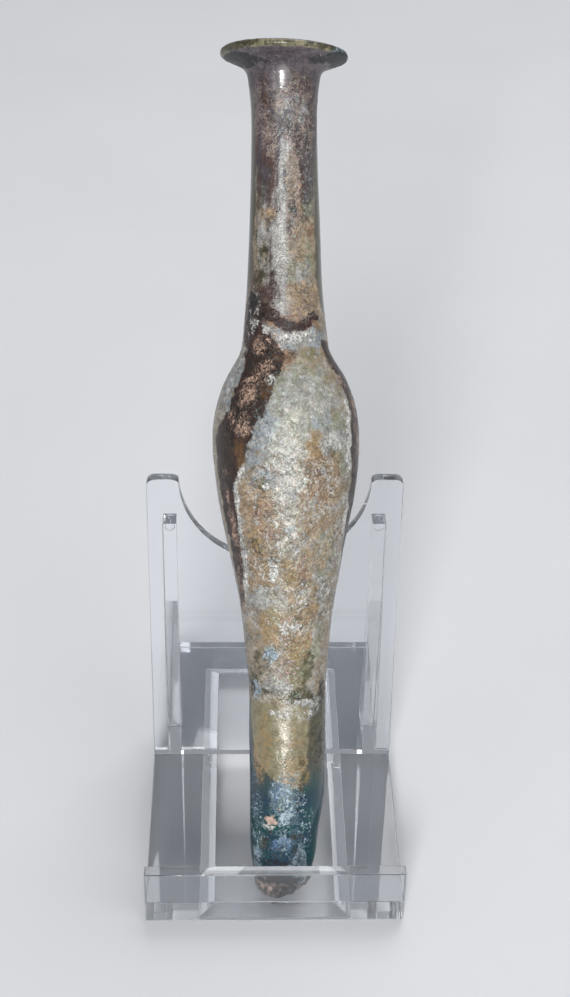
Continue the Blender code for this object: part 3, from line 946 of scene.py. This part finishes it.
def bare_glass(tree, grains):
    """The glass itself: olive grey and cloudy, teal and clearer towards the foot."""
    teal = add_node(tree, "Attribute", out="Fac", attribute_name="teal")
    tones = {SHARE: grains["drawn"], COLOUR_A: linear("#3e3d33"), COLOUR_B: linear("#5f5c4f")}
    olive = add_node(tree, "Mix", tones, MIXED_COLOUR, data_type="RGBA")
    tones = {SHARE: grains["broad"], COLOUR_A: linear("#002a52"), COLOUR_B: linear("#00584f")}
    sea = add_node(tree, "Mix", tones, MIXED_COLOUR, data_type="RGBA")
    both = {SHARE: teal, COLOUR_A: olive, COLOUR_B: sea}
    mixed = grains["mixed"]
    return {
        "colour": add_node(tree, "Mix", both, MIXED_COLOUR, data_type="RGBA"),
        "rough": add_node(tree, "MapRange", {"Value": mixed, "To Min": 0.1, "To Max": 0.26}),
        "metal": 0.0,
        "clear": add_node(tree, "MapRange", {"Value": teal, "To Min": 0.08, "To Max": 0.4}),
        "height": add_node(tree, "MapRange", {"Value": mixed, "To Min": 0.0, "To Max": 0.015}),
    }


def glass_grains(tree, own):
    """Noise from 0 to 1 at each size of grain, its streaks, its folds and its swirls."""
    grains = {}
    for seed, (name, (size, detail, twist)) in enumerate(GRAINS.items(), FIRST_GRAIN_SEED):
        inputs = {"Vector": own, "W": SEED_STEP * seed, "Scale": 1 / size, "Detail": detail}
        inputs.update({"Roughness": 0.68, "Distortion": twist})
        grain = add_node(tree, "TexNoise", inputs, noise_dimensions="4D")
        grains[name] = add_node(tree, "MapRange", {"Value": grain, **NOISE_RANGE})
    drawn = add_node(tree, "Mapping", {"Vector": own, "Scale": (1.0, 1.0, STREAK_STRETCH)})
    inputs = {"Vector": drawn, "Scale": 1 / STREAK_WIDTH, "Detail": 6.0, "Roughness": 0.7}
    drawn = add_node(tree, "TexNoise", inputs)
    grains["drawn"] = add_node(tree, "MapRange", {"Value": drawn, **NOISE_RANGE})
    both = add_node(tree, "Mix", {SHARE: 0.5, A: grains["fine"], B: grains["mid"]})
    grains["mixed"] = add_node(tree, "MapRange", {"Value": both, "From Min": 0.15, "From Max": 0.85})
    # A fold runs where its grain is halfway, and fades to both sides.
    fold = add_node(tree, "MapRange", {"Value": grains["foil"], "To Min": -1.0, "To Max": 1.0})
    fold = add_node(tree, "Math", {0: fold}, operation="ABSOLUTE")
    sides = {"From Min": 0.0, "From Max": 0.55, "To Min": 1.0, "To Max": 0.0}
    grains["fold"] = add_node(tree, "MapRange", {"Value": fold, **sides})
    # The rings of a wave that runs through noise are like the swirls of a crinkled skin.
    swirl = {"Vector": own, "Scale": 1 / SWIRL_SIZE, "Detail": 2.5, "Roughness": 0.6, "Distortion": 0.4}
    swirl = add_node(tree, "TexNoise", swirl)
    swirl = add_node(tree, "Math", {0: swirl, 1: SWIRL_TURNS}, operation="MULTIPLY")
    swirl = add_node(tree, "Math", {0: swirl}, operation="SINE")
    grains["swirl"] = add_node(tree, "MapRange", {"Value": swirl, "From Min": -1.0, "From Max": 1.0})
    grains["ripple"] = add_node(tree, "Mix", {SHARE: 0.6, A: grains["swirl"], B: grains["fine"]})
    return grains


def crust_shade(tree, own, grains, crusted):
    """The crust's light and shade: under 1 in its hollows and cracks, over 1 on its crests."""
    shade = add_node(tree, "MapRange", {"Value": grains["fine"], "To Min": 0.72, "To Max": 1.26})
    for grain, low, high in (("swirl", 0.82, 1.1), ("grit", 0.56, 1.34)):
        fold = add_node(tree, "MapRange", {"Value": grains[grain], "To Min": low, "To Max": high})
        shade = add_node(tree, "Math", {0: shade, 1: fold}, operation="MULTIPLY")
    crack = {"Vector": own, "Scale": 1 / CRACK_SIZE, "Detail": 4.0, "Roughness": 0.6, "Distortion": 0.5}
    crack = add_node(tree, "TexNoise", crack)
    crack = add_node(tree, "Math", {0: crack, 1: 0.5}, operation="SUBTRACT")
    crack = add_node(tree, "Math", {0: crack}, operation="ABSOLUTE")
    depth = {"From Min": 0.005, "From Max": 0.02, "To Min": 0.45, "To Max": 1.0}
    crack = add_node(tree, "MapRange", {"Value": crack, **depth})
    shade = add_node(tree, "Math", {0: shade, 1: crack}, operation="MULTIPLY")
    return add_node(tree, "Mix", {SHARE: crusted, A: 1.0, B: shade})


def pitted(tree, grains, crusted, colour):
    """The colour with dark pits where it is crusted."""
    depth = {"From Min": 0.08, "From Max": 0.22, "To Min": 0.6, "To Max": 0.0}
    pit = add_node(tree, "MapRange", {"Value": grains["pit"], **depth})
    pit = add_node(tree, "Math", {0: pit, 1: crusted}, operation="MULTIPLY")
    pits = {SHARE: pit, COLOUR_A: colour, COLOUR_B: linear("#2a221b")}
    return add_node(tree, "Mix", pits, MIXED_COLOUR, data_type="RGBA")


def tinted_glints(tree, own, colour):
    """The colour with small painted glints, in the tints of mother of pearl."""
    painted_glint = add_node(tree, "Attribute", out="Fac", attribute_name="painted_glint")
    glint = {"Vector": own, "W": GLINT_SEED, "Scale": 1 / GLINT_SIZE, "Detail": 3.0, "Distortion": 1.0}
    glint = add_node(tree, "TexNoise", glint, noise_dimensions="4D")
    peaks = {"From Min": 0.56, "From Max": 0.70, "To Max": 0.8}
    glint = add_node(tree, "MapRange", {"Value": glint, **peaks})
    glint = add_node(tree, "Math", {0: glint, 1: painted_glint}, operation="MULTIPLY")
    hue = {"Vector": own, "W": TINT_SEED, "Scale": 1 / TINT_SIZE, "Detail": 4.0}
    hue = add_node(tree, "TexNoise", hue, noise_dimensions="4D")
    hue = add_node(tree, "MapRange", {"Value": hue, "From Min": 0.3, "From Max": 0.7})
    hue = add_node(tree, "ValToRGB", {"Fac": hue})
    ramp = hue.node.color_ramp
    while len(ramp.elements) < len(TINTS):
        ramp.elements.new(0.5)
    for index, tint in enumerate(TINTS):
        ramp.elements[index].position = index / (len(TINTS) - 1)
        ramp.elements[index].color = linear(tint)
    glints = {SHARE: glint, COLOUR_A: colour, COLOUR_B: hue}
    return add_node(tree, "Mix", glints, MIXED_COLOUR, data_type="RGBA")


def glass_relief(tree, grains, crusted, films_height):
    """The finest relief, in mm: the films, the crust's swirls and grit, the crumpled umber."""
    relief = add_node(tree, "MapRange", {"Value": grains["swirl"], "To Min": 0.0, "To Max": 0.05})
    relief = add_node(tree, "Math", {0: grains["fine"], 1: 0.04, 2: relief}, operation="MULTIPLY_ADD")
    relief = {0: relief, 1: crusted, 2: films_height}
    relief = add_node(tree, "Math", relief, operation="MULTIPLY_ADD")
    crumpled = add_node(tree, "Attribute", out="Fac", attribute_name="umber")
    crumple = add_node(tree, "Math", {0: grains["foil"], 1: 0.14}, operation="MULTIPLY")
    crumple = {0: crumple, 1: crumpled, 2: relief}
    return add_node(tree, "Math", crumple, operation="MULTIPLY_ADD")


def weathered_glass(place):
    """Soda-lime glass, free-blown, then buried until its skin turned to films and crust.

    Blowing leaves a smooth, fire-polished skin: bare, it is glossy, streaked along the neck, and so
    cloudy with bubbles and stain that little light gets through it. Such glass has an IOR of 1.52, is
    about 0.1 rough and isn't metallic. The films hide it: dull, earthy and wrinkled where they are
    crusts, pearly and glinting where they are thin. Some glints, and a highlight down the front, are
    painted into the colour.
    """
    material, tree, shader = new_material("weathered_soda_lime_glass")
    own = {
        "Vector": add_node(tree, "TexCoord", out="Object"),
        "Location": place.translation,
        "Rotation": place.to_euler(),
        "Scale": (MM, MM, MM),
    }
    own = add_node(tree, "Mapping", own, vector_type="TEXTURE")
    grains = glass_grains(tree, own)
    state = bare_glass(tree, grains)
    for seed, (name, film) in enumerate(FILMS.items(), 1):
        state = lay_film(tree, own, name, film, seed, grains, state)
    crusted = add_node(tree, "Attribute", out="Fac", attribute_name="crusted")
    shaded = {COLOUR_A: state["colour"], COLOUR_B: crust_shade(tree, own, grains, crusted)}
    mixing = {"data_type": "RGBA", "blend_type": "MULTIPLY"}
    colour = add_node(tree, "Mix", {SHARE: 1.0, **shaded}, MIXED_COLOUR, **mixing)
    colour = pitted(tree, grains, crusted, colour)
    # Glints painted into the colour, mostly down the front where the highlight falls.
    colour = tinted_glints(tree, own, colour)
    tree.links.new(colour, shader.inputs["Base Color"])
    tree.links.new(state["rough"], shader.inputs["Roughness"])
    tree.links.new(state["metal"], shader.inputs["Metallic"])
    tree.links.new(state["clear"], shader.inputs["Transmission Weight"])
    shader.inputs["IOR"].default_value = 1.52
    relief = glass_relief(tree, grains, crusted, state["height"])
    bump = {"Strength": 1.0, "Distance": MM, "Height": relief}
    tree.links.new(add_node(tree, "Bump", bump), shader.inputs["Normal"])
    return material


def roughen(skin, masks):
    """Raises the crusts and pits the mesh itself, staying inside the CAD bottle's box."""
    low, high = (np.array(corner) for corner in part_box("unguentarium"))
    swell = sum(height * masks[name] for name, height in CRUST_HEIGHTS.items())
    swell += 0.07 * (1 - masks["bare"]) * skin.noise(size=2.2, seed=51)
    swell += 0.05 * (1 - masks["bare"]) * skin.noise(size=1.2, seed=52)
    tip = 1 - smooth(skin.station, *BREAK_END)
    swell += tip * (0.50 * skin.noise(size=2.6, seed=53) + 0.35 * skin.noise(size=1.3, seed=54))
    swell += sum(skin.patch(*patch) for patch in TIP_SLANT)
    swell -= GROOVE_DEPTH * np.exp(-(((skin.station - GROOVE_STATION) / GROOVE_WIDTH) ** 2))
    swell *= skin.outer
    points = np.empty(len(skin.mesh.vertices) * 3)
    skin.mesh.vertices.foreach_get("co", points)
    moved = points.reshape(-1, 3) + skin.facing * swell[:, None] * MM
    skin.mesh.vertices.foreach_set("co", np.clip(moved, low, high).ravel())
    skin.mesh.update()


def refined_copy(node):
    """A copy of the CAD bottle, merged, turned to four-sided faces and subdivided."""
    bottle = bpy.data.objects.new("glass_bottle", node.data.copy())
    bpy.context.scene.collection.objects.link(bottle)
    pick(bottle)
    bpy.ops.object.mode_set(mode="EDIT")
    bpy.ops.mesh.select_all(action="SELECT")
    bpy.ops.mesh.remove_doubles(threshold=MERGE_GAP)
    bpy.ops.mesh.tris_convert_to_quads(face_threshold=math.radians(60), shape_threshold=math.radians(120))
    bpy.ops.object.mode_set(mode="OBJECT")
    finer = bottle.modifiers.new("finer", "SUBSURF")
    finer.levels = finer.render_levels = 2
    apply_all(bottle)
    bpy.ops.object.shade_smooth()
    return bottle


def make_bottle():
    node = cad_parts["unguentarium"]
    place = bottle_place(node)
    bottle = refined_copy(node)
    skin = Skin(bottle.data, place)
    skin.wander(size=9.0, amount=0.9, seed=1)
    skin.wander(size=3.0, amount=0.6, seed=4)
    masks = film_masks(skin)
    roughen(skin, masks)
    masks.update(surface_masks(skin, masks))
    for name in (*FILMS, "teal", "crusted", "painted_glint"):
        skin.keep(name, masks[name])
    finish_piece(bottle, "unguentarium", "weathered_glass", weathered_glass(place))


# ---------------------------------------------------------------- the easel


def styrene(name, blotches, roughness, clear):
    """Polystyrene with a roughness that varies: its IOR is 1.59, and it isn't metallic."""
    material, tree, shader = new_material(name)
    place = add_node(tree, "TexCoord", out="Object")
    blotch = add_node(tree, "TexNoise", {"Vector": place, **blotches})
    rough = add_node(tree, "MapRange", {"Value": blotch, **roughness})
    tree.links.new(rough, shader.inputs["Roughness"])
    shader.inputs["Base Color"].default_value = linear("#fafcff")
    shader.inputs["IOR"].default_value = 1.59
    shader.inputs["Transmission Weight"].default_value = clear
    return material


def clear_styrene():
    """Clear polystyrene, injection moulded against polished steel.

    To the eye it is little more than bright and dark edges round glossy faces. New, it is about
    0.01 rough. Handling has rubbed this one faintly, up to 0.08, in clouds of 6 mm. Its single
    scratches are too fine to show and aren't drawn.
    """
    rubs = {"Scale": 1 / (6 * MM), "Detail": 6.0, "Roughness": 0.75}
    roughness = {"From Min": 0.5, "From Max": 0.85, "To Min": 0.015, "To Max": 0.08}
    return styrene("clear_moulded_polystyrene", rubs, roughness, clear=1.0)


def sawn_styrene():
    """The same polystyrene where the plate was sawn off.

    The saw leaves it frosted, 0.35 to 0.55 rough, so it scatters light and glows white. Its teeth
    mark it every 0.1 to 0.2 mm, too fine to show, so the marks are drawn as blotches of 1.2 mm.
    """
    marks = {"Scale": 1 / (1.2 * MM), "Detail": 4.0}
    roughness = {"From Min": 0.3, "From Max": 0.7, "To Min": 0.35, "To Max": 0.55}
    return styrene("sawn_polystyrene_edge", marks, roughness, clear=0.25)


def box_piece(name, low, high):
    """A cube primitive between two corners, its place in its mesh."""
    bpy.ops.object.select_all(action="DESELECT")
    low, high = Vector(low), Vector(high)
    bpy.ops.mesh.primitive_cube_add(size=1.0, location=(low + high) / 2, scale=high - low)
    bpy.ops.object.transform_apply(location=True, rotation=True, scale=True)
    piece = bpy.context.active_object
    piece.name = name
    return piece


def round_cutter(name, radius, depth, middle, sides):
    """A cylinder primitive that lies along Y, its place in its mesh."""
    bpy.ops.object.select_all(action="DESELECT")
    lying = (math.radians(90), 0, 0)
    bpy.ops.mesh.primitive_cylinder_add(
        vertices=sides, radius=radius, depth=depth, location=middle, rotation=lying
    )
    bpy.ops.object.transform_apply(location=True, rotation=True, scale=True)
    piece = bpy.context.active_object
    piece.name = name
    return piece


def cut_with(piece, cutter, operation="DIFFERENCE"):
    """Cuts a piece with another, or joins them, and removes the other."""
    change = piece.modifiers.new("cut", "BOOLEAN")
    change.operation = operation
    change.solver = "EXACT"
    change.object = cutter
    apply_all(piece)
    bpy.data.objects.remove(cutter, do_unlink=True)


def round_edges(piece):
    """Rounds the moulded edges and keeps the faces between them flat."""
    soft = piece.modifiers.new("soft edges", "BEVEL")
    soft.width = EDGE_ROUNDING
    soft.segments = 3
    soft.limit_method = "ANGLE"
    soft.angle_limit = math.radians(40)
    apply_all(piece)
    bpy.ops.object.shade_smooth()
    for face in piece.data.polygons:
        face.use_smooth = face.area < FLAT_FACE


def window_cutter(front):
    """The window's hollow: its walls slope outwards on their way down."""
    window = box_piece(
        "window",
        (-WINDOW_TOP_WIDTH / 2, front + WINDOW_FRONT, 0),
        (WINDOW_TOP_WIDTH / 2, front + WINDOW_REAR, PLATE_THICKNESS),
    )
    side_slope = (WINDOW_BOTTOM_WIDTH - WINDOW_TOP_WIDTH) / 2
    for vertex in window.data.vertices:
        is_front = vertex.co.y < front + (WINDOW_FRONT + WINDOW_REAR) / 2
        below = vertex.co.z < PLATE_THICKNESS / 2
        # Each corner goes on along its wall's slope until it is past the plate.
        share = 1 + PAST / PLATE_THICKNESS if below else -PAST / PLATE_THICKNESS
        out = Vector((math.copysign(side_slope, vertex.co.x), WINDOW_REAR_SLOPE, 0)) * share
        if is_front:
            out.y = -WINDOW_FRONT_SLOPE * share
        vertex.co += out + Vector((0, 0, -PAST if below else PAST))
    return window


def make_base(clear, sawn):
    """The plate with its lip, its narrower tongue behind and its window."""
    low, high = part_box("easel_base")
    front, half = low.y, high.x
    base = box_piece(
        "easel_plate", (-half, front, 0), (half, front + FRONT_DEPTH, PLATE_THICKNESS)
    )
    lip = box_piece("lip", (-half, front, 0), (half, front + LIP_THICKNESS, high.z))
    cut_with(base, lip, "UNION")
    tongue = box_piece(
        "tongue",
        (-TONGUE_WIDTH / 2, front + FRONT_DEPTH - PAST, 0),
        (TONGUE_WIDTH / 2, high.y, PLATE_THICKNESS),
    )
    cut_with(base, tongue, "UNION")
    cut_with(base, window_cutter(front))
    round_edges(base)
    # Only the tongue's rear end is sawn.
    for face in base.data.polygons:
        face.material_index = int(face.center.y > high.y - EDGE_ROUNDING and face.normal.y > 0.9)
    finish_piece(base, "easel_base", "clear_plastic", clear, sawn)


def round_ears(back):
    """Rounds the top corners of the upright's ears, which are edges that run through it."""
    pick(back)
    bpy.ops.object.mode_set(mode="EDIT")
    shape = bmesh.from_edit_mesh(back.data)
    for edge in shape.edges:
        start, end = (vertex.co for vertex in edge.verts)
        at_top = (start + end).z / 2 > PANEL_HEIGHT - HAIR
        edge.select_set(abs((start - end).y) > PANEL_THICKNESS / 2 and at_top)
    bmesh.update_edit_mesh(back.data)
    bpy.ops.mesh.bevel(offset=EAR_ROUNDING, segments=6, affect="EDGES")
    bpy.ops.object.mode_set(mode="OBJECT")


def tapering_rib(middle):
    """A rib behind the upright: shallow at its top, sloping from its knee to a deep foot."""
    rib = box_piece(
        "rib",
        (middle - RIB_THICKNESS / 2, PANEL_THICKNESS / 2, -PANEL_SPARE),
        (middle + RIB_THICKNESS / 2, PANEL_THICKNESS + RIB_TOP_DEPTH, RIB_TOP),
    )
    pick(rib)
    bpy.ops.object.mode_set(mode="EDIT")
    for height in (RIB_KNEE, RIB_FOOT_HEIGHT):
        bpy.ops.mesh.select_all(action="SELECT")
        bpy.ops.mesh.bisect(plane_co=(0, 0, height), plane_no=(0, 0, 1))
    bpy.ops.object.mode_set(mode="OBJECT")
    for vertex in rib.data.vertices:
        if vertex.co.y > PANEL_THICKNESS and vertex.co.z < RIB_KNEE - MM:
            vertex.co.y = PANEL_THICKNESS + RIB_FOOT_DEPTH
    return rib


def make_back(clear):
    """The upright with its notch, ears and ribs, made standing straight and then leant back."""
    low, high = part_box("easel_back")
    half = high.x
    back = box_piece(
        "easel_upright", (-half, 0, -PANEL_SPARE), (half, PANEL_THICKNESS, PANEL_HEIGHT)
    )
    top = (0, 0, PANEL_HEIGHT)
    cut_with(back, round_cutter("notch", NOTCH_RADIUS, NOTCH_CUTTER_DEPTH, top, sides=128))
    round_ears(back)
    for middle in (-RIB_CENTRE, RIB_CENTRE):
        cut_with(back, tapering_rib(middle), "UNION")
        mark = (middle, PANEL_THICKNESS + RIB_TOP_DEPTH, RIB_TOP - 2 * PIN_RADIUS)
        cut_with(back, round_cutter("pin", PIN_RADIUS, 2 * PIN_DEPTH, mark, sides=32))
    place = Matrix.Translation((0, cad_box[0].y + PANEL_FOOT, low.z))
    back.matrix_world = place @ Matrix.Rotation(-PANEL_LEAN, 4, "X")
    pick(back)
    bpy.ops.object.transform_apply(location=True, rotation=True, scale=True)
    reach = LEVEL_CUTTER_REACH
    cut_with(back, box_piece("below", (-reach, -reach, -reach), (reach, reach, low.z)))
    round_edges(back)
    finish_piece(back, "easel_back", "clear_plastic", clear)


# ---------------------------------------------------------------- the whole


def main():
    place_camera()
    light_scene()
    make_floor()
    make_bottle()
    clear = clear_styrene()
    make_base(clear, sawn_styrene())
    make_back(clear)


main()
